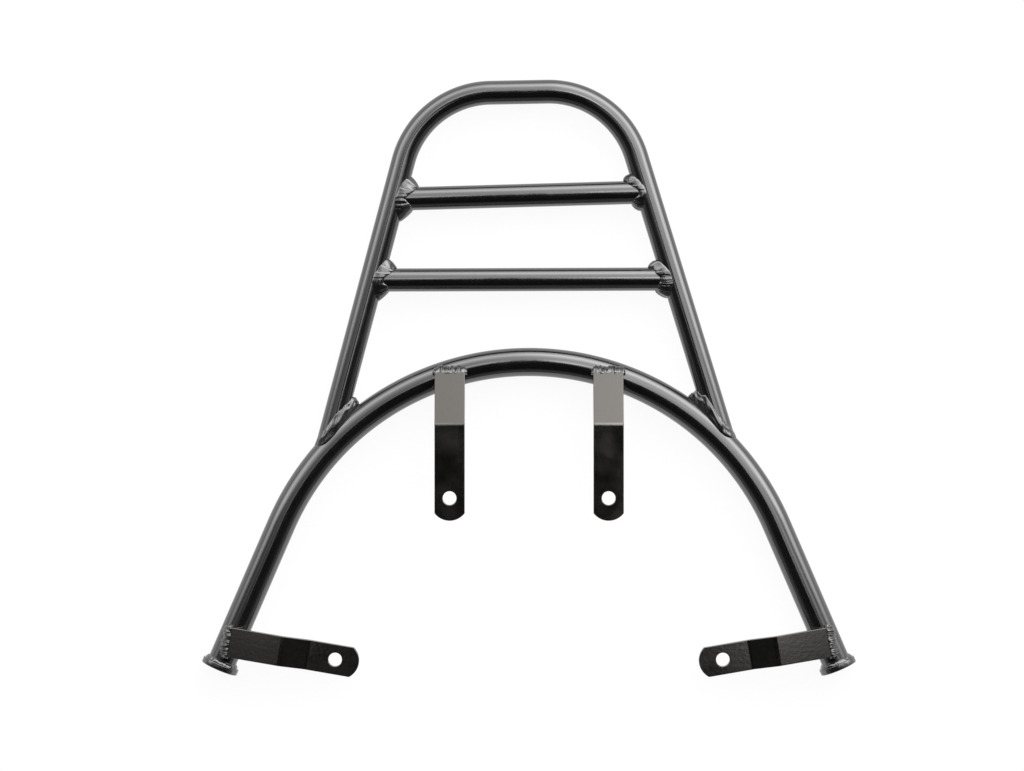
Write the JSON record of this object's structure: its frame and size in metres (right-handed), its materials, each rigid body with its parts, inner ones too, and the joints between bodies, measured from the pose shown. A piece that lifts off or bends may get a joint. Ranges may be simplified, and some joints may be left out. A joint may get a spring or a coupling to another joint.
{
  "type": "motorcycle luggage rack",
  "caption": "Tubular luggage rack: a tapered loop with crossbars, welded to an arch that wraps the seat's rear and carries bent flat straps with bolt holes.",
  "frame": {"origin": "midway between the two upper bolt holes, half way through the thickness of their straps", "axes": "+X to the right across the rack, +Y from the arch towards the far bar of the loop, +Z out of the face that carries the straps"},
  "size_m": [0.4362, 0.398, 0.0344],
  "materials": {
    "arch_coat": "gloss black powder coat on drawn steel tube",
    "loop_coat": "gloss black powder coat on drawn steel tube",
    "bar_coat": "gloss black powder coat on drawn steel tube",
    "strap_coat": "gloss black powder coat on flat steel bar",
    "disc_coat": "gloss black powder coat on cut steel discs",
    "weld_coat": "gloss black powder coat over rippled weld beads"
  },
  "bodies": {
    "root": {"arch_tube": "arch_coat", "loop_tube": "loop_coat", "upper_crossbar": "bar_coat", "lower_crossbar": "bar_coat", "upper_strap_left": "strap_coat", "upper_strap_right": "strap_coat", "lower_strap_left": "strap_coat", "lower_strap_right": "strap_coat", "end_disc_left": "disc_coat", "end_disc_right": "disc_coat", "upper_bar_weld_left": "weld_coat", "upper_bar_weld_right": "weld_coat", "lower_bar_weld_left": "weld_coat", "lower_bar_weld_right": "weld_coat", "loop_weld_left": "weld_coat", "loop_weld_right": "weld_coat", "upper_strap_weld_left": "weld_coat", "upper_strap_weld_right": "weld_coat", "lower_strap_weld_left": "weld_coat", "lower_strap_weld_right": "weld_coat", "disc_weld_left": "weld_coat", "disc_weld_right": "weld_coat"}
  },
  "joints": []
}
